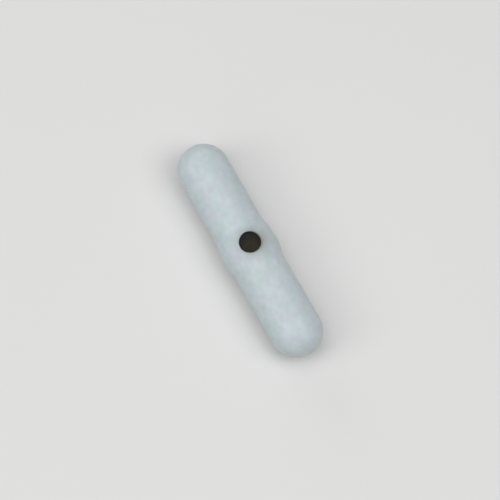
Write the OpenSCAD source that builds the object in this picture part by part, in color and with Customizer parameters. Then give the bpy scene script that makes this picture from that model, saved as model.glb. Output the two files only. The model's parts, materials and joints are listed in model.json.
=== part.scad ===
// Magnetic stir bar with a pivot ring and a marker dot.
// The bar lies along X with its middle at the origin, and the dot faces +Z.

/* [Bar] */
// Length over the two rounded ends
bar_l = 38; // [30:0.5:60]
// Diameter of the straight barrel, which its ends carry on as half spheres
bar_d = 8.2; // [7:0.1:10]

/* [Pivot ring] */
// Height of the ring's crown above the barrel
ring_rise = 0.45; // [0.3:0.05:0.7]
// Width of the ring along the bar, from foot to foot
ring_w = 6.3; // [5.5:0.1:9]
// Radius of the hollow curve that leads each foot of the ring into the barrel
ring_foot_r = 1.5; // [0.5:0.1:2.5]

/* [Magnet] */
// Thickness of the moulded wall round the sides of the magnet
side_wall = 1.1; // [0.8:0.05:1.5]
// Thickness of the moulded material past each end of the magnet, along the axis
end_wall = 3; // [3:0.1:6]
// Chamfer on the magnet's end edges
magnet_chamfer = 0.4; // [0.2:0.05:0.8]
// Gap between the magnet and its cavity
magnet_gap = 0.02; // [0.01:0.01:0.05]

/* [Marker dot] */
// Diameter of the dot
dot_d = 3.4; // [2.4:0.1:4]
// Thickness of the dot where it is thinnest, at its edge
dot_edge_t = 0.45; // [0.3:0.05:0.6]
// Depth of the dot's face below the ring's surface
dot_recess = 0.06; // [0.02:0.01:0.15]
// Gap round the dot in its pocket
dot_gap = 0.02; // [0.01:0.01:0.05]

/* [Hidden] */
$fn = 200;

// A cutting or trimming solid runs past the surface that it works on by this much.
over = 1;
// Each foot arc is let into the barrel by this much, so that the surfaces cross and don't only touch.
let_in = 0.001;

// The barrel and its ends
bar_r = bar_d / 2;
barrel_half = bar_l / 2 - bar_r;

// The ring's outline is a crown arc between two foot arcs, each on a common tangent with it.
ring_r = bar_r + ring_rise;
ring_half = ring_w / 2;
both_arcs_r = (ring_half ^ 2 + ring_rise ^ 2) / (2 * ring_rise);
crown_r = both_arcs_r - ring_foot_r;
crown_edge_r = ring_r - ring_rise * crown_r / both_arcs_r;

// The cavity that is moulded round the magnet
cavity_r = bar_r - side_wall;
cavity_half = bar_l / 2 - end_wall;

// The dot's pocket has a flat floor.
pocket_r = dot_d / 2 + dot_gap;
pocket_floor_z = sqrt(ring_r ^ 2 - pocket_r ^ 2) - dot_recess - dot_edge_t;

jacket_colour = [0.79, 0.83, 0.85];
magnet_colour = [0.33, 0.33, 0.35];
dot_colour = [0.20, 0.19, 0.165];

// Turns a section about the bar's axis: the section's X is the radius, and its Y runs along the bar.
module turned() {
    rotate([0, 90, 0])
        rotate_extrude()
            children();
}

module at_both_ends() {
    for (end = [0, 1])
        mirror([0, end])
            children();
}

module barrel_section() {
    translate([0, -barrel_half])
        square([bar_r, 2 * barrel_half]);
}

module end_section() {
    translate([0, barrel_half])
        intersection() {
            circle(r = bar_r);
            square(bar_r);
        }
}

// The crown arc of the ring, lowered by drop
module crown_section(drop = 0) {
    intersection() {
        translate([ring_r - crown_r, 0])
            circle(r = crown_r - drop);
        translate([0, -ring_half])
            square([ring_r, ring_w]);
    }
}

// Both feet of the ring, as one band that its arcs cut hollow
module feet_section() {
    difference() {
        translate([0, -ring_half])
            square([crown_edge_r, ring_w]);
        at_both_ends()
            translate([bar_r + ring_foot_r - let_in, ring_half])
                circle(r = ring_foot_r);
    }
}

// A rod with chamfered ends, for the magnet and for the cavity that fits it
module rod_section(r, half) {
    polygon([
        [0, -half],
        [r - magnet_chamfer, -half],
        [r, magnet_chamfer - half],
        [r, half - magnet_chamfer],
        [r - magnet_chamfer, half],
        [0, half]
    ]);
}

// A cylinder of radius r that stands on the pocket's floor and runs out past the ring
module pocket_core(r) {
    translate([0, 0, pocket_floor_z])
        cylinder(r = r, h = ring_r + over - pocket_floor_z);
}

// The moulded jacket is one sealed piece, with the dot's pocket in the crown of its ring.
module jacket() {
    color(jacket_colour)
        difference() {
            turned() {
                barrel_section();
                at_both_ends()
                    end_section();
                crown_section();
                feet_section();
            }
            turned()
                rod_section(cavity_r, cavity_half);
            pocket_core(pocket_r);
        }
}

// The magnet's poles are at its two ends, so the whole bar follows a turning field.
module bar_magnet() {
    color(magnet_colour)
        turned()
            rod_section(cavity_r - magnet_gap, cavity_half - magnet_gap);
}

// The dot stands on the pocket's floor, and its face is crowned as the ring is.
module marker_dot() {
    color(dot_colour)
        intersection() {
            turned()
                crown_section(dot_recess);
            pocket_core(dot_d / 2);
        }
}

jacket();
bar_magnet();
marker_dot();
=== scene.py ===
"""A magnetic stir bar's visible surfaces and its plain studio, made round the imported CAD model.

The bar lies along X with its middle at the origin, and the marker dot in the crown of its pivot ring
faces +Z. All lengths are metres. Each piece has an operator of its own, and one more makes the stage.
"""

import json
import math

import bmesh
import bpy
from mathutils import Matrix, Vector


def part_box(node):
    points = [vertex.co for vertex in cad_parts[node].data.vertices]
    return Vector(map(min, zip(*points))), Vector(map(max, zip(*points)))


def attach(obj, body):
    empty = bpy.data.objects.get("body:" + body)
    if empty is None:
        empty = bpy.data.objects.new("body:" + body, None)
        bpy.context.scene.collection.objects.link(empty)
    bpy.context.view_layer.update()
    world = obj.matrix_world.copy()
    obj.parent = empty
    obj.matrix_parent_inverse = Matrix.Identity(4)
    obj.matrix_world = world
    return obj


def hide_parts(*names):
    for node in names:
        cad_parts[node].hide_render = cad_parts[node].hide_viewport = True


bl_info = {
    "name": "Magnetic stir bar",
    "version": (1, 0, 0),
    "blender": (4, 5, 0),
    "location": "View3D > Sidebar > Stir bar",
    "description": "Makes a fluoropolymer stir bar with a pivot ring and a marker dot, on a plain stage",
    "category": "Object",
}

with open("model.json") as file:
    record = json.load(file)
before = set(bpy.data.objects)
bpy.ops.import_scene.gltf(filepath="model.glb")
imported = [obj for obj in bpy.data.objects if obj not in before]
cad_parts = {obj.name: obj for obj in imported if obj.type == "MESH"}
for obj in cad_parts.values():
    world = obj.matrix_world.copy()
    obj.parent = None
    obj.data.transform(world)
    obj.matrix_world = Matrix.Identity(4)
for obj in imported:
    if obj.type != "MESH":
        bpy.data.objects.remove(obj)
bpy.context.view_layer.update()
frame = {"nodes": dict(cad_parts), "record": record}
MM = 0.001

JACKET_LOW, JACKET_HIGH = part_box("jacket")
BAR_END = JACKET_HIGH.x
RING_RADIUS = JACKET_HIGH.y
BARREL_RADIUS = frame["record"]["mounts"][0]["dims"]["r_mm"] * MM

DOT_LOW, DOT_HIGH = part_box("marker_dot")
DOT_RADIUS = DOT_HIGH.x
DOT_TOP = DOT_HIGH.z
DOT_BACK = DOT_LOW.z

MAGNET_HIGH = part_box("bar_magnet")[1]
MAGNET_HALF_LENGTH = MAGNET_HIGH.x
MAGNET_RADIUS = MAGNET_HIGH.y


def display(red, green, blue):
    """The linear colour that shows as these 0 to 255 values."""
    levels = (value / 255 for value in (red, green, blue))
    return tuple(((v + 0.055) / 1.055) ** 2.4 if v > 0.04045 else v / 12.92 for v in levels)


def opaque(colour):
    """The colour with full alpha, as a node's socket wants it."""
    return (*colour, 1.0)


# ---------------------------------------------------------------- settings


class JacketSettings(bpy.types.PropertyGroup):
    """Sizes and finish of the moulded jacket."""

    ring_width: bpy.props.FloatProperty(
        name="Ring width",
        description="Width of the pivot ring along the bar, from foot to foot",
        default=6.3 * MM,
        min=5.8 * MM,
        max=9.0 * MM,
        precision=5,
        unit="LENGTH",
    )
    ring_foot: bpy.props.FloatProperty(
        name="Ring foot",
        description="Radius of the hollow curve at each foot of the ring",
        default=1.5 * MM,
        min=0.3 * MM,
        max=1.8 * MM,
        precision=5,
        unit="LENGTH",
    )
    pocket_rim: bpy.props.FloatProperty(
        name="Pocket rim",
        description="Radius of the softened rim of the dot's pocket",
        default=0.12 * MM,
        min=0.02 * MM,
        max=0.3 * MM,
        precision=5,
        unit="LENGTH",
    )
    cavity_chamfer: bpy.props.FloatProperty(
        name="Cavity chamfer",
        description="Chamfer at both ends of the sealed cavity",
        default=0.4 * MM,
        min=0.1 * MM,
        max=1.0 * MM,
        precision=5,
        unit="LENGTH",
    )
    steps_round: bpy.props.IntProperty(
        name="Steps round",
        description="Mesh steps round the bar, an even number",
        default=160,
        min=64,
        max=400,
    )
    green_white: bpy.props.FloatVectorProperty(
        name="Green white",
        description="Milky white of the cooler clouds",
        default=display(187, 205, 203),
        min=0,
        max=1,
        subtype="COLOR",
    )
    lilac_white: bpy.props.FloatVectorProperty(
        name="Lilac white",
        description="Milky white of the warmer clouds",
        default=display(200, 205, 215),
        min=0,
        max=1,
        subtype="COLOR",
    )
    dull_white: bpy.props.FloatVectorProperty(
        name="Dull white",
        description="Greyer white that clouds the other two",
        default=display(178, 186, 190),
        min=0,
        max=1,
        subtype="COLOR",
    )
    # Grey of the painted shade and grime round the dot, towards -X
    grey_shade_and_grime: bpy.props.FloatVectorProperty(
        name="Grey grime",
        description="Colour of the grime round the dot, towards -X",
        default=display(110, 110, 105),
        min=0,
        max=1,
        subtype="COLOR",
    )
    # Brown of the painted shade and grime round the dot, towards +X
    brown_shade_and_grime: bpy.props.FloatVectorProperty(
        name="Brown grime",
        description="Colour of the grime round the dot, towards +X",
        default=display(114, 104, 80),
        min=0,
        max=1,
        subtype="COLOR",
    )
    # Reach of the painted shade and grime round the dot
    shade_and_grime_reach: bpy.props.FloatProperty(
        name="Grime reach",
        description="How far out from the dot's pocket the grime fades to nothing",
        default=1.9 * MM,
        min=0.5 * MM,
        max=4.0 * MM,
        precision=5,
        unit="LENGTH",
    )
    roughness: bpy.props.FloatProperty(
        name="Roughness",
        description="Mean roughness of the satin surface",
        default=0.4,
        min=0,
        max=1,
        subtype="FACTOR",
    )


class DotSettings(bpy.types.PropertyGroup):
    """Sizes and finish of the marker dot."""

    gap: bpy.props.FloatProperty(
        name="Gap",
        description="Gap round the dot in its pocket",
        default=0.02 * MM,
        min=0.01 * MM,
        max=0.1 * MM,
        precision=5,
        unit="LENGTH",
    )
    edge: bpy.props.FloatProperty(
        name="Edge",
        description="Radius of the dot's softened edge",
        default=0.12 * MM,
        min=0.02 * MM,
        max=0.3 * MM,
        precision=5,
        unit="LENGTH",
    )
    dark: bpy.props.FloatVectorProperty(
        name="Dark",
        description="Main colour of the dot",
        default=display(20, 24, 29),
        min=0,
        max=1,
        subtype="COLOR",
    )
    # Warmer colour of the film, which is also painted light on the dot's middle and +X side
    lit_film: bpy.props.FloatVectorProperty(
        name="Film",
        description="Colour of the thin warmer film on it",
        default=display(42, 38, 23),
        min=0,
        max=1,
        subtype="COLOR",
    )
    roughness: bpy.props.FloatProperty(
        name="Roughness",
        description="Mean roughness of its matte face",
        default=0.62,
        min=0,
        max=1,
        subtype="FACTOR",
    )


class MagnetSettings(bpy.types.PropertyGroup):
    """Finish of the sealed magnet."""

    gap: bpy.props.FloatProperty(
        name="Gap",
        description="Gap between the magnet and its cavity",
        default=0.02 * MM,
        min=0.01 * MM,
        max=0.1 * MM,
        precision=5,
        unit="LENGTH",
    )
    metal: bpy.props.FloatVectorProperty(
        name="Metal",
        description="Main colour of the cast metal",
        default=display(96, 96, 98),
        min=0,
        max=1,
        subtype="COLOR",
    )
    grain: bpy.props.FloatVectorProperty(
        name="Grain",
        description="Colour of its darker grain",
        default=display(62, 62, 66),
        min=0,
        max=1,
        subtype="COLOR",
    )


class StageSettings(bpy.types.PropertyGroup):
    """The floor, the light and the camera."""

    floor: bpy.props.FloatVectorProperty(
        name="Floor",
        description="Colour of the plain floor",
        default=display(218, 218, 217),
        min=0,
        max=1,
        subtype="COLOR",
    )
    backdrop: bpy.props.FloatVectorProperty(
        name="Backdrop",
        description="Colour that the floor fades into far from the bar",
        default=display(216, 216, 215),
        min=0,
        max=1,
        subtype="COLOR",
    )
    ambient: bpy.props.FloatProperty(
        name="Ambient",
        description="Strength of the even light from all round",
        default=0.2,
        min=0,
        max=1,
        subtype="FACTOR",
    )
    azimuth: bpy.props.FloatProperty(
        name="Azimuth",
        description="Camera's turn about the upright axis",
        default=math.radians(61.2),
        subtype="ANGLE",
    )
    elevation: bpy.props.FloatProperty(
        name="Elevation",
        description="Camera's angle above the floor",
        default=math.radians(73.0),
        subtype="ANGLE",
    )
    lens: bpy.props.FloatProperty(
        name="Lens", description="Focal length of the camera", default=300, min=50, unit="CAMERA"
    )
    view_width: bpy.props.FloatProperty(
        name="View width",
        description="Width of what the camera shows at the bar",
        default=77.6 * MM,
        min=10 * MM,
        unit="LENGTH",
    )


class StirBarSettings(bpy.types.PropertyGroup):
    """All settings of the stir bar and its stage."""

    jacket: bpy.props.PointerProperty(type=JacketSettings, name="Jacket", description="Moulded jacket")
    dot: bpy.props.PointerProperty(type=DotSettings, name="Dot", description="Marker dot")
    magnet: bpy.props.PointerProperty(type=MagnetSettings, name="Magnet", description="Sealed magnet")
    stage: bpy.props.PointerProperty(type=StageSettings, name="Stage", description="Floor, light, camera")


# ---------------------------------------------------------------- shape of the bar


class Outline:
    """The jacket's outer outline: how far the surface lies from the bar's axis at each place along it."""

    def __init__(self, jacket):
        self.end = BAR_END
        self.ring = RING_RADIUS
        self.barrel = BARREL_RADIUS
        self.straight = self.end - self.barrel
        self.half_ring = jacket.ring_width / 2
        self.foot = jacket.ring_foot
        rise = self.ring - self.barrel
        # The crown's arc and the foot's arc share a tangent where they join, and this is both radii
        both_arcs = (self.half_ring**2 + rise**2) / (2 * rise)
        self.crown = both_arcs - self.foot
        self.join = self.half_ring * self.crown / both_arcs

    def radius(self, x, recess=0.0):
        """Radius at x. The recess lowers only the ring's crown."""
        along = abs(x)
        if along <= self.join:
            arc = self.crown - recess
            return self.ring - self.crown + math.sqrt(arc**2 - along**2)
        if along <= self.half_ring:
            return self.barrel + self.foot - math.sqrt(self.foot**2 - (self.half_ring - along) ** 2)
        if along <= self.straight:
            return self.barrel
        return math.sqrt(max(0, self.barrel**2 - (along - self.straight) ** 2))

    def height(self, x, y, recess=0.0):
        """Height of the upper surface above the axis, at x and y."""
        return math.sqrt(self.radius(x, recess) ** 2 - y**2)


def spread(start, stop, steps):
    """Places from start to stop, both included, at even distances."""
    return [start + (stop - start) * k / steps for k in range(steps + 1)]


def skin(mesh, first, second):
    """Quads between two loops of as many points. The order of the two sets the side that they face."""
    for k in range(len(first)):
        after = (k + 1) % len(first)
        mesh.faces.new((first[k], second[k], second[after], first[after]))


def cap(mesh, loop, point, turned=False):
    """Triangles from a loop to a point. They face where the loop looks anticlockwise, unless turned."""
    for k in range(len(loop)):
        pair = (loop[k], loop[(k + 1) % len(loop)])
        mesh.faces.new((point, *reversed(pair)) if turned else (point, *pair))


def round_loop(mesh, x, radius, steps):
    """A loop round the bar's axis. It starts at the top and goes by way of +Y."""
    turns = [2 * math.pi * k / steps for k in range(steps)]
    return [mesh.verts.new((x, radius * math.sin(turn), radius * math.cos(turn))) for turn in turns]


def level_loop(mesh, turns, radius, z):
    """A flat loop round the dot's own axis, with a point at each turn from +X."""
    return [mesh.verts.new((radius * math.cos(turn), radius * math.sin(turn), z)) for turn in turns]


def crown_loop(mesh, turns, radius, outline, drop, recess=0.0):
    """A loop round the dot's own axis that lies a drop below the ring's crown."""
    points = []
    for turn in turns:
        x, y = radius * math.cos(turn), radius * math.sin(turn)
        points.append(mesh.verts.new((x, y, outline.height(x, y, recess) - drop)))
    return points


def finish_piece(mesh, name, node, material):
    """Makes a shown piece from a bmesh and sets it in the frame in place of its CAD node."""
    data = bpy.data.meshes.new(name)
    mesh.to_mesh(data)
    mesh.free()
    data.shade_smooth()
    data.materials.append(material)
    piece = bpy.data.objects.new(name, data)
    bpy.context.scene.collection.objects.link(piece)
    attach(piece, "root")
    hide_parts(node)


# ---------------------------------------------------------------- jacket

# The patch is the part of the crown that is meshed round the dot's pocket
PATCH_HALF_LENGTH = 2.4 * MM
PATCH_LOOPS = 6
POCKET_RIM_STEPS = 5
POCKET_WALL_STEPS = 2
POCKET_FLOOR_LOOPS = 4
CROWN_STEPS = 3
FOOT_STEPS = 7
BARREL_STEPS = 28
END_STEPS = 28


def stations(outline):
    """Places of the loops along one half of the bar, past the pocket's patch."""
    crown = spread(PATCH_HALF_LENGTH, outline.join, CROWN_STEPS)
    foot = spread(outline.join, outline.half_ring, FOOT_STEPS)
    barrel = spread(outline.half_ring, outline.straight, BARREL_STEPS)
    turns = spread(0, math.pi / 2, END_STEPS)[1:-1]
    end = [outline.straight + outline.barrel * math.sin(turn) for turn in turns]
    return crown[1:] + foot[1:] + barrel[1:] + end


def pocket_patch(mesh, edge, outline, jacket, dot):
    """The crown round the pocket, its softened rim, its wall and its floor.

    They lie inside the edge, a loop of points that starts at its corner towards +X and -Y.
    """
    count = len(edge)
    turns = [2 * math.pi * k / count - math.pi / 4 for k in range(count)]
    wall = DOT_RADIUS + dot.gap
    rim = wall + jacket.pocket_rim
    loops = [edge]
    for step in range(1, PATCH_LOOPS):
        blend = step / PATCH_LOOPS
        points = []
        for turn, point in zip(turns, edge):
            x = point.co.x + (rim * math.cos(turn) - point.co.x) * blend
            y = point.co.y + (rim * math.sin(turn) - point.co.y) * blend
            points.append(mesh.verts.new((x, y, outline.height(x, y))))
        loops.append(points)
    for bend in spread(0, math.pi / 2, POCKET_RIM_STEPS):
        radius = rim - jacket.pocket_rim * math.sin(bend)
        drop = jacket.pocket_rim * (1 - math.cos(bend))
        loops.append(crown_loop(mesh, turns, radius, outline, drop))
    top = [point.co.z for point in loops[-1]]
    for step in range(1, POCKET_WALL_STEPS + 1):
        depth = step / POCKET_WALL_STEPS
        points = []
        for turn, z in zip(turns, top):
            x, y = wall * math.cos(turn), wall * math.sin(turn)
            points.append(mesh.verts.new((x, y, z + (DOT_BACK - z) * depth)))
        loops.append(points)
    for radius in spread(wall, 0, POCKET_FLOOR_LOOPS)[1:-1]:
        loops.append(level_loop(mesh, turns, radius, DOT_BACK))
    for outer, inner in zip(loops, loops[1:]):
        skin(mesh, inner, outer)
    cap(mesh, loops[-1], mesh.verts.new((0, 0, DOT_BACK)))


def outer_skin(mesh, outline, jacket, dot):
    """The jacket's outside, with the dot's pocket in the top of its ring."""
    steps = jacket.steps_round
    patch = round(steps * math.asin(PATCH_HALF_LENGTH / outline.ring) / (2 * math.pi))
    sides = stations(outline)
    patch_places = spread(-PATCH_HALF_LENGTH, PATCH_HALF_LENGTH, 2 * patch)
    places = [-x for x in reversed(sides)] + patch_places + sides
    first_row = len(sides)
    last_row = first_row + 2 * patch
    grid = {}
    for row, x in enumerate(places):
        for column in range(-steps // 2, steps // 2):
            inside_row = first_row < row < last_row
            if inside_row and abs(column) < patch:
                continue
            turn = 2 * math.pi * column / steps
            radius = outline.radius(x)
            point = (x, radius * math.sin(turn), radius * math.cos(turn))
            grid[row, column] = mesh.verts.new(point)

    def at(row, column):
        return grid[row, (column + steps // 2) % steps - steps // 2]

    for row in range(len(places) - 1):
        for column in range(-steps // 2, steps // 2):
            in_patch = first_row <= row < last_row and -patch <= column < patch
            if not in_patch:
                corners = (row, column), (row + 1, column), (row + 1, column + 1), (row, column + 1)
                mesh.faces.new([at(*corner) for corner in corners])
    for row, x in ((0, -outline.end), (len(places) - 1, outline.end)):
        loop = [at(row, column) for column in range(steps)]
        cap(mesh, loop, mesh.verts.new((x, 0, 0)), turned=x > 0)
    edge = [at(last_row, column) for column in range(-patch, patch)]
    edge += [at(row, patch) for row in range(last_row, first_row, -1)]
    edge += [at(first_row, column) for column in range(patch, -patch, -1)]
    edge += [at(row, -patch) for row in range(first_row, last_row)]
    pocket_patch(mesh, edge, outline, jacket, dot)


def cavity_skin(mesh, jacket, magnet):
    """The sealed cavity round the magnet, which faces in."""
    half, radius = MAGNET_HALF_LENGTH + magnet.gap, MAGNET_RADIUS + magnet.gap
    chamfer = jacket.cavity_chamfer
    section = [
        (-half, radius - chamfer),
        (chamfer - half, radius),
        (half - chamfer, radius),
        (half, radius - chamfer),
    ]
    loops = [round_loop(mesh, x, across, jacket.steps_round // 2) for x, across in section]
    for before, after in zip(loops, loops[1:]):
        skin(mesh, after, before)
    cap(mesh, loops[0], mesh.verts.new((-half, 0, 0)), turned=True)
    cap(mesh, loops[-1], mesh.verts.new((half, 0, 0)))


# ---------------------------------------------------------------- marker dot

DOT_STEPS_ROUND = 112
DOT_FACE_LOOPS = 10
DOT_EDGE_STEPS = 5


def dot_skin(mesh, outline, dot):
    """The dot's crowned face, its softened edge, its side and its flat back."""
    recess = outline.ring - DOT_TOP
    turns = [2 * math.pi * k / DOT_STEPS_ROUND for k in range(DOT_STEPS_ROUND)]
    loops = []
    for radius in spread(0, DOT_RADIUS - dot.edge, DOT_FACE_LOOPS)[1:-1]:
        loops.append(crown_loop(mesh, turns, radius, outline, 0.0, recess))
    for bend in spread(0, math.pi / 2, DOT_EDGE_STEPS):
        radius = DOT_RADIUS - dot.edge + dot.edge * math.sin(bend)
        drop = dot.edge * (1 - math.cos(bend))
        loops.append(crown_loop(mesh, turns, radius, outline, drop, recess))
    loops.append(level_loop(mesh, turns, DOT_RADIUS, DOT_BACK))
    loops.append(level_loop(mesh, turns, DOT_RADIUS / 2, DOT_BACK))
    for inner, outer in zip(loops, loops[1:]):
        skin(mesh, inner, outer)
    cap(mesh, loops[0], mesh.verts.new((0, 0, outline.height(0, 0, recess))))
    cap(mesh, loops[-1], mesh.verts.new((0, 0, DOT_BACK)), turned=True)


# ---------------------------------------------------------------- materials

FLUOROPOLYMER_IOR = 1.36
# Nearly all values of a noise node lie between these
NOISE_LOW = 0.32
NOISE_HIGH = 0.68


class Finish:
    """A node material of one Principled shader, and short calls that add nodes to it."""

    def __init__(self, name):
        self.material = bpy.data.materials.new(name)
        self.material.use_nodes = True
        self.nodes = self.material.node_tree.nodes
        self.links = self.material.node_tree.links
        self.shader = self.nodes["Principled BSDF"]
        self.place = self.nodes.new("ShaderNodeTexCoord").outputs["Object"]

    def put(self, socket, value):
        """Links a socket to another node's output, or sets it to a plain value."""
        if isinstance(value, bpy.types.NodeSocket):
            self.links.new(value, socket)
        else:
            socket.default_value = value

    def fill(self, node, **inputs):
        """Links or sets a node's inputs by their names."""
        for name, value in inputs.items():
            self.put(node.inputs[name.replace("_", " ")], value)

    def node(self, kind, **inputs):
        """Adds a node, with its inputs linked or set by their names."""
        made = self.nodes.new(kind)
        self.fill(made, **inputs)
        return made

    def noise(self, size, detail=2.0, roughness=0.5, seed=0.0):
        """Smooth noise with patches of about this size in metres."""
        moved = self.node("ShaderNodeVectorMath", Vector=self.place)
        moved.operation = "ADD"
        moved.inputs[1].default_value = (seed, seed, seed)
        made = self.node("ShaderNodeTexNoise", Vector=moved.outputs[0], Scale=1 / size)
        self.fill(made, Detail=detail, Roughness=roughness)
        return made.outputs["Fac"]

    def span(self, value, low, high, to_low=0.0, to_high=1.0, smooth=False):
        """Maps low to high onto to_low to to_high, and stops at both."""
        made = self.node("ShaderNodeMapRange", Value=value, From_Min=low, From_Max=high)
        self.fill(made, To_Min=to_low, To_Max=to_high)
        made.interpolation_type = "SMOOTHSTEP" if smooth else "LINEAR"
        made.clamp = True
        return made.outputs["Result"]

    def clouds(self, size, low=0.0, high=1.0, seed=0.0):
        """Uneven patches of about this size in metres, from one value to another."""
        noise = self.noise(size, detail=4.0, roughness=0.65, seed=seed)
        return self.span(noise, NOISE_LOW, NOISE_HIGH, low, high)

    def mix(self, amount, first, second):
        """Mixes two colours, each a plain colour or another node's output."""
        made = self.node("ShaderNodeMix", Factor=amount)
        made.data_type = "RGBA"
        made.clamp_factor = True
        colours = [socket for socket in made.inputs if socket.type == "RGBA"]
        for socket, colour in zip(colours, (first, second)):
            self.put(socket, colour if isinstance(colour, bpy.types.NodeSocket) else opaque(colour))
        return next(socket for socket in made.outputs if socket.type == "RGBA")

    def math(self, operation, first, second=0.0):
        """Adds a Math node for one or two values, each a number or another node's output."""
        made = self.nodes.new("ShaderNodeMath")
        made.operation = operation
        self.put(made.inputs[0], first)
        self.put(made.inputs[1], second)
        return made.outputs[0]

    def bump(self, *layers):
        """Stacks (height, depth in metres) layers of relief on the surface."""
        normal = None
        for height, depth in layers:
            made = self.node("ShaderNodeBump", Height=height, Distance=depth, Strength=1.0)
            if normal is not None:
                self.fill(made, Normal=normal)
            normal = made.outputs["Normal"]
        self.fill(self.shader, Normal=normal)


def from_upright(finish, axes, lean=(0.0, 0.0)):
    """Distance from an upright line, which lies off the middle of the dot by the lean in X and Y."""
    offsets = [finish.math("SUBTRACT", axes.outputs[name], by) for name, by in zip("XY", lean)]
    squares = [finish.math("MULTIPLY", offset, offset) for offset in offsets]
    return finish.math("SQRT", finish.math("ADD", *squares))


# The painted shade and grime round the dot is a wide haze, partly grime and partly painted shade
# of the bar's shaded side, with a narrow dark band of painted shade at the pocket's rim
HAZE_AMOUNT = 0.4
HAZE_FADE = 1.5
# The haze leans towards +X and +Y. Towards +Y it is painted shade of the bar's shaded side
HAZE_LEAN = (0.20 * MM, 0.34 * MM)
HAZE_WANDER = 0.13 * MM
HAZE_WANDER_SIZE = 0.8 * MM
# The band is painted shade at the pocket's rim
BAND_AMOUNT = 0.72
BAND_WIDTH = 0.42 * MM
BAND_LEAN = (0.08 * MM, 0.14 * MM)
# Heights from which the painted shade and grime fade in, from none to all
UNDARKENED_BELOW = 0.0
DARKENED_ABOVE = 1.0 * MM


def shade_and_grime_round_dot(finish, axes, rim, reach):
    """How far painted shade and grime darken it: most at the pocket's rim, fading out with an uneven
    border.
    """
    wander = finish.clouds(HAZE_WANDER_SIZE, -HAZE_WANDER, HAZE_WANDER, seed=1.3)
    uneven = finish.math("ADD", from_upright(finish, axes, HAZE_LEAN), wander)
    haze = finish.math("POWER", finish.span(uneven, rim, rim + reach, 1.0, 0.0), HAZE_FADE)
    close = from_upright(finish, axes, BAND_LEAN)
    band = finish.span(close, rim, rim + BAND_WIDTH, BAND_AMOUNT, 0.0, smooth=True)
    both = finish.math("MAXIMUM", finish.math("MULTIPLY", haze, HAZE_AMOUNT), band)
    return finish.math("MULTIPLY", both, finish.span(axes.outputs["Z"], UNDARKENED_BELOW, DARKENED_ABOVE))


CLOUD_SIZE = 2.2 * MM
DULL_SIZE = 1.4 * MM
DULL_AMOUNT = 0.6
SATIN_SIZE = 1.1 * MM
SATIN_SPREAD = 0.05
SCATTER_AMOUNT = 0.3
SCATTER_DEPTH = 0.4 * MM
WAVE_SIZE = 3.0 * MM
WAVE_DEPTH = 0.02 * MM
GRAIN_SIZE = 0.2 * MM
GRAIN_DEPTH = 0.001 * MM


def milky_white_fluoropolymer(jacket, dot):
    """Satin moulded fluoropolymer: milky, faintly clouded, and darkened round the dot by grime and
    painted shade.
    """
    finish = Finish("milky_white_fluoropolymer")
    milky = finish.mix(finish.clouds(CLOUD_SIZE, seed=0.7), jacket.green_white, jacket.lilac_white)
    clouded = finish.mix(finish.clouds(DULL_SIZE, high=DULL_AMOUNT, seed=6.5), milky, jacket.dull_white)
    axes = finish.node("ShaderNodeSeparateXYZ", Vector=finish.place)
    rim = DOT_RADIUS + dot.gap
    warmth = finish.span(axes.outputs["X"], -rim, rim)
    # Colour of the painted shade and grime round the dot, grey towards -X and brown towards +X
    shade_and_grime = finish.mix(warmth, jacket.grey_shade_and_grime, jacket.brown_shade_and_grime)
    shade_and_grime_amount = shade_and_grime_round_dot(finish, axes, rim, jacket.shade_and_grime_reach)
    smooth, rough = jacket.roughness - SATIN_SPREAD, jacket.roughness + SATIN_SPREAD
    finish.fill(
        finish.shader,
        Base_Color=finish.mix(shade_and_grime_amount, clouded, shade_and_grime),
        Roughness=finish.clouds(SATIN_SIZE, smooth, rough, seed=5.2),
        IOR=FLUOROPOLYMER_IOR,
        Subsurface_Weight=SCATTER_AMOUNT,
        Subsurface_Radius=(1.0, 1.0, 1.0),
        Subsurface_Scale=SCATTER_DEPTH,
    )
    finish.bump(
        (finish.noise(WAVE_SIZE, detail=1.0, seed=2.4), WAVE_DEPTH),
        (finish.noise(GRAIN_SIZE, detail=3.0, seed=9.5), GRAIN_DEPTH),
    )
    return finish.material


# The film's spread is painted light in the dot's middle and painted shade at its edge and towards -X
LIT_FILM_IN_MIDDLE = 0.85
LIT_FILM_AT_SHADED_EDGE = 0.2
LIT_FILM_SLOPE = 0.4
FILM_PATCH_SIZE = 0.7 * MM
FILM_PATCH_AMOUNT = 0.27
MATTE_SIZE = 0.4 * MM
MATTE_SPREAD = 0.06
MATTE_SPECULAR = 0.21
DOT_GRAIN_SIZE = 0.3 * MM
DOT_GRAIN_DEPTH = 0.006 * MM


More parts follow.
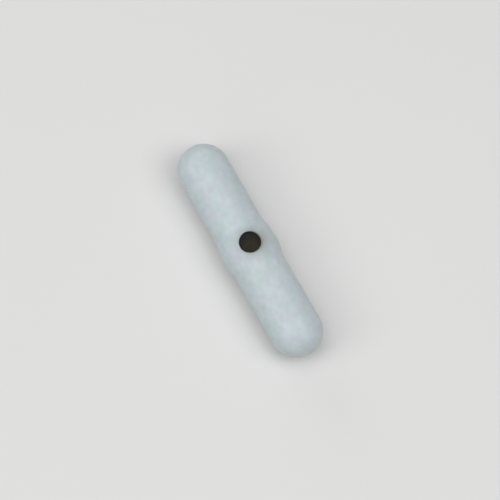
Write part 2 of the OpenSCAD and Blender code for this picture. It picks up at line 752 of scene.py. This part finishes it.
def matte_dark_fluoropolymer(dot):
    """Matte dark fluoropolymer with a thin warmer film, most of it in the middle and towards +X: painted
    light in the middle, painted shade at the edge and towards -X.
    """
    finish = Finish("matte_dark_fluoropolymer")
    axes = finish.node("ShaderNodeSeparateXYZ", Vector=finish.place)
    slope = finish.span(axes.outputs["X"], -DOT_RADIUS, DOT_RADIUS, -LIT_FILM_SLOPE, LIT_FILM_SLOPE)
    middle = finish.span(from_upright(finish, axes), 0.0, DOT_RADIUS, LIT_FILM_IN_MIDDLE, LIT_FILM_AT_SHADED_EDGE)
    patches = finish.clouds(FILM_PATCH_SIZE, -FILM_PATCH_AMOUNT, FILM_PATCH_AMOUNT, seed=4.6)
    # Painted shade at the edge and towards -X and painted light in the middle, with random patches of
    # film
    lit_film = finish.math("ADD", finish.math("ADD", slope, middle), patches)
    smooth, rough = dot.roughness - MATTE_SPREAD, dot.roughness + MATTE_SPREAD
    finish.fill(
        finish.shader,
        Base_Color=finish.mix(lit_film, dot.dark, dot.lit_film),
        Roughness=finish.clouds(MATTE_SIZE, smooth, rough, seed=6.1),
        IOR=FLUOROPOLYMER_IOR,
        Specular_IOR_Level=MATTE_SPECULAR,
    )
    finish.bump((finish.noise(DOT_GRAIN_SIZE, detail=4.0, seed=8.8), DOT_GRAIN_DEPTH))
    return finish.material


METAL_GRAIN_SIZE = 0.35 * MM
METAL_ROUGHNESS = 0.4
METAL_GRAIN_ROUGHNESS = 0.6
METAL_PIT_SIZE = 0.25 * MM
METAL_PIT_DEPTH = 0.008 * MM


def ground_magnet_metal(magnet):
    """Cast magnet metal, ground all over, with a fine dark grain."""
    finish = Finish("ground_magnet_metal")
    grain = finish.clouds(METAL_GRAIN_SIZE)
    roughness = finish.span(grain, 0.0, 1.0, METAL_ROUGHNESS, METAL_GRAIN_ROUGHNESS)
    colour = finish.mix(grain, magnet.metal, magnet.grain)
    finish.fill(finish.shader, Base_Color=colour, Metallic=1.0, Roughness=roughness)
    finish.bump((finish.noise(METAL_PIT_SIZE, detail=6.0, seed=2.2), METAL_PIT_DEPTH))
    return finish.material


# ---------------------------------------------------------------- operators


class STIRBAR_OT_jacket(bpy.types.Operator):
    """Make the moulded jacket: barrel, round ends, pivot ring, dot pocket and sealed cavity"""

    bl_idname = "stirbar.jacket"
    bl_label = "Moulded jacket"

    def execute(self, context):
        settings = context.scene.stir_bar
        mesh = bmesh.new()
        outer_skin(mesh, Outline(settings.jacket), settings.jacket, settings.dot)
        cavity_skin(mesh, settings.jacket, settings.magnet)
        material = milky_white_fluoropolymer(settings.jacket, settings.dot)
        finish_piece(mesh, "moulded_jacket", "jacket", material)
        return {"FINISHED"}


class STIRBAR_OT_marker_dot(bpy.types.Operator):
    """Make the dark marker dot, crowned as the ring is, with a softened edge"""

    bl_idname = "stirbar.marker_dot"
    bl_label = "Marker dot"

    def execute(self, context):
        settings = context.scene.stir_bar
        mesh = bmesh.new()
        dot_skin(mesh, Outline(settings.jacket), settings.dot)
        material = matte_dark_fluoropolymer(settings.dot)
        finish_piece(mesh, "crowned_dot", "marker_dot", material)
        return {"FINISHED"}


class STIRBAR_OT_magnet(bpy.types.Operator):
    """Give the sealed magnet, which stays as its solid has it, the finish of cast metal"""

    bl_idname = "stirbar.magnet"
    bl_label = "Sealed magnet"

    def execute(self, context):
        node = frame["nodes"]["bar_magnet"]
        node.material_slots[0].material = ground_magnet_metal(context.scene.stir_bar.magnet)
        return {"FINISHED"}


# Name, azimuth and elevation in degrees, size in metres, and power in watts
LAMPS = (
    ("top_softbox", 0.0, 85.0, 0.50, 1.32),
    ("front_softbox", -10.0, 42.0, 0.35, 0.76),
    ("back_softbox", 130.0, 58.0, 0.35, 1.00),
    ("side_softbox", 270.0, 20.0, 0.35, 0.43),
    ("low_softbox", 40.0, 22.0, 0.40, 0.18),
)
LAMP_DISTANCE = 0.55
CLIP_RATIO = 100


def towards(azimuth, elevation):
    """Unit vector from the bar to a place round it: azimuth 0 is -Y and 90 is +X."""
    level = math.cos(elevation)
    return Vector((math.sin(azimuth) * level, -math.cos(azimuth) * level, math.sin(elevation)))


def aimed(name, data, away, distance):
    """An object with its -Z turned to the middle of the bar, at a distance along a direction."""
    made = bpy.data.objects.new(name, data)
    made.location = away * distance
    made.rotation_mode = "QUATERNION"
    made.rotation_quaternion = (-away).to_track_quat("-Z", "Y")
    bpy.context.scene.collection.objects.link(made)
    return made


def is_seen(tree):
    """Output of 1 for what is seen, itself, in a gloss or through glass, and 0 for what only lights."""
    rays = tree.nodes.new("ShaderNodeLightPath")
    seen = rays.outputs["Is Camera Ray"]
    for name in ("Is Glossy Ray", "Is Transmission Ray"):
        either = tree.nodes.new("ShaderNodeMath")
        either.operation = "MAXIMUM"
        tree.links.new(seen, either.inputs[0])
        tree.links.new(rays.outputs[name], either.inputs[1])
        seen = either.outputs[0]
    return seen


FLOOR_HALF = 3.0
FLOOR_STEPS = 8
FLOOR_ROUGHNESS = 0.9
FLOOR_SPECULAR = 0.2
# Distances from the bar between which the floor fades into the backdrop
FADE_START = 0.08
FADE_END = 0.45


def make_floor(stage, level):
    """A plain floor, which is seen to fade into the backdrop away from the bar."""
    mesh = bmesh.new()
    bmesh.ops.create_grid(mesh, x_segments=FLOOR_STEPS, y_segments=FLOOR_STEPS, size=FLOOR_HALF)
    data = bpy.data.meshes.new("floor")
    mesh.to_mesh(data)
    mesh.free()
    finish = Finish("plain_floor")
    finish.fill(
        finish.shader,
        Base_Color=opaque(stage.floor),
        Roughness=FLOOR_ROUGHNESS,
        Specular_IOR_Level=FLOOR_SPECULAR,
    )
    away = finish.node("ShaderNodeVectorMath", Vector=finish.place)
    away.operation = "LENGTH"
    fade = finish.span(away.outputs["Value"], FADE_START, FADE_END, smooth=True)
    backdrop = finish.node("ShaderNodeEmission", Color=opaque(stage.backdrop), Strength=1.0)
    shown = finish.math("MULTIPLY", fade, is_seen(finish.material.node_tree))
    mix = finish.node("ShaderNodeMixShader", Fac=shown)
    finish.put(mix.inputs[1], finish.shader.outputs["BSDF"])
    finish.put(mix.inputs[2], backdrop.outputs["Emission"])
    finish.fill(finish.nodes["Material Output"], Surface=mix.outputs["Shader"])
    data.materials.append(finish.material)
    floor = bpy.data.objects.new("floor", data)
    floor.location.z = level
    bpy.context.scene.collection.objects.link(floor)


def make_world(stage):
    """Even light from all round. The camera and reflections see the pale backdrop past the floor."""
    world = bpy.data.worlds.new("studio")
    world.use_nodes = True
    nodes, links = world.node_tree.nodes, world.node_tree.links
    even = nodes["Background"]
    even.inputs["Color"].default_value = (1, 1, 1, 1)
    even.inputs["Strength"].default_value = stage.ambient
    seen = nodes.new("ShaderNodeBackground")
    seen.inputs["Color"].default_value = opaque(stage.backdrop)
    mix = nodes.new("ShaderNodeMixShader")
    links.new(is_seen(world.node_tree), mix.inputs["Fac"])
    links.new(even.outputs[0], mix.inputs[1])
    links.new(seen.outputs[0], mix.inputs[2])
    links.new(mix.outputs[0], nodes["World Output"].inputs["Surface"])
    bpy.context.scene.world = world


class STIRBAR_OT_stage(bpy.types.Operator):
    """Make the floor, the light and the camera"""

    bl_idname = "stirbar.stage"
    bl_label = "Stage"

    def execute(self, context):
        stage = context.scene.stir_bar.stage
        make_floor(stage, JACKET_LOW.z)
        make_world(stage)
        for name, azimuth, elevation, size, power in LAMPS:
            lamp = bpy.data.lights.new(name, "AREA")
            lamp.shape = "DISK"
            lamp.size = size
            lamp.energy = power
            away = towards(math.radians(azimuth), math.radians(elevation))
            aimed(name, lamp, away, LAMP_DISTANCE).visible_camera = False
        camera = bpy.data.cameras.new("camera")
        camera.lens = stage.lens
        distance = stage.view_width * stage.lens / camera.sensor_width
        camera.clip_start, camera.clip_end = distance / CLIP_RATIO, distance * CLIP_RATIO
        view = aimed("camera", camera, towards(stage.azimuth, stage.elevation), distance)
        context.scene.camera = view
        context.scene.view_settings.view_transform = "Standard"
        return {"FINISHED"}


PIECE_OPERATORS = (STIRBAR_OT_jacket, STIRBAR_OT_marker_dot, STIRBAR_OT_magnet)


class STIRBAR_PT_panel(bpy.types.Panel):
    """The stir bar's pieces, its stage and their settings"""

    bl_idname = "STIRBAR_PT_panel"
    bl_label = "Magnetic stir bar"
    bl_space_type = "VIEW_3D"
    bl_region_type = "UI"
    bl_category = "Stir bar"

    def draw(self, context):
        settings = context.scene.stir_bar
        for operator in (*PIECE_OPERATORS, STIRBAR_OT_stage):
            self.layout.operator(operator.bl_idname)
        for group in (settings.jacket, settings.dot, settings.magnet, settings.stage):
            box = self.layout.box()
            for name in group.bl_rna.properties.keys():
                if name not in ("rna_type", "name"):
                    box.prop(group, name)


CLASSES = (
    JacketSettings,
    DotSettings,
    MagnetSettings,
    StageSettings,
    StirBarSettings,
    *PIECE_OPERATORS,
    STIRBAR_OT_stage,
    STIRBAR_PT_panel,
)


def register():
    for each in CLASSES:
        bpy.utils.register_class(each)
    bpy.types.Scene.stir_bar = bpy.props.PointerProperty(
        type=StirBarSettings, name="Stir bar", description="Settings of the stir bar and its stage"
    )


def unregister():
    del bpy.types.Scene.stir_bar
    for each in reversed(CLASSES):
        bpy.utils.unregister_class(each)


def main():
    register()
    bpy.ops.stirbar.jacket()
    bpy.ops.stirbar.marker_dot()
    bpy.ops.stirbar.magnet()
    bpy.ops.stirbar.stage()


if __name__ == "__main__":
    main()
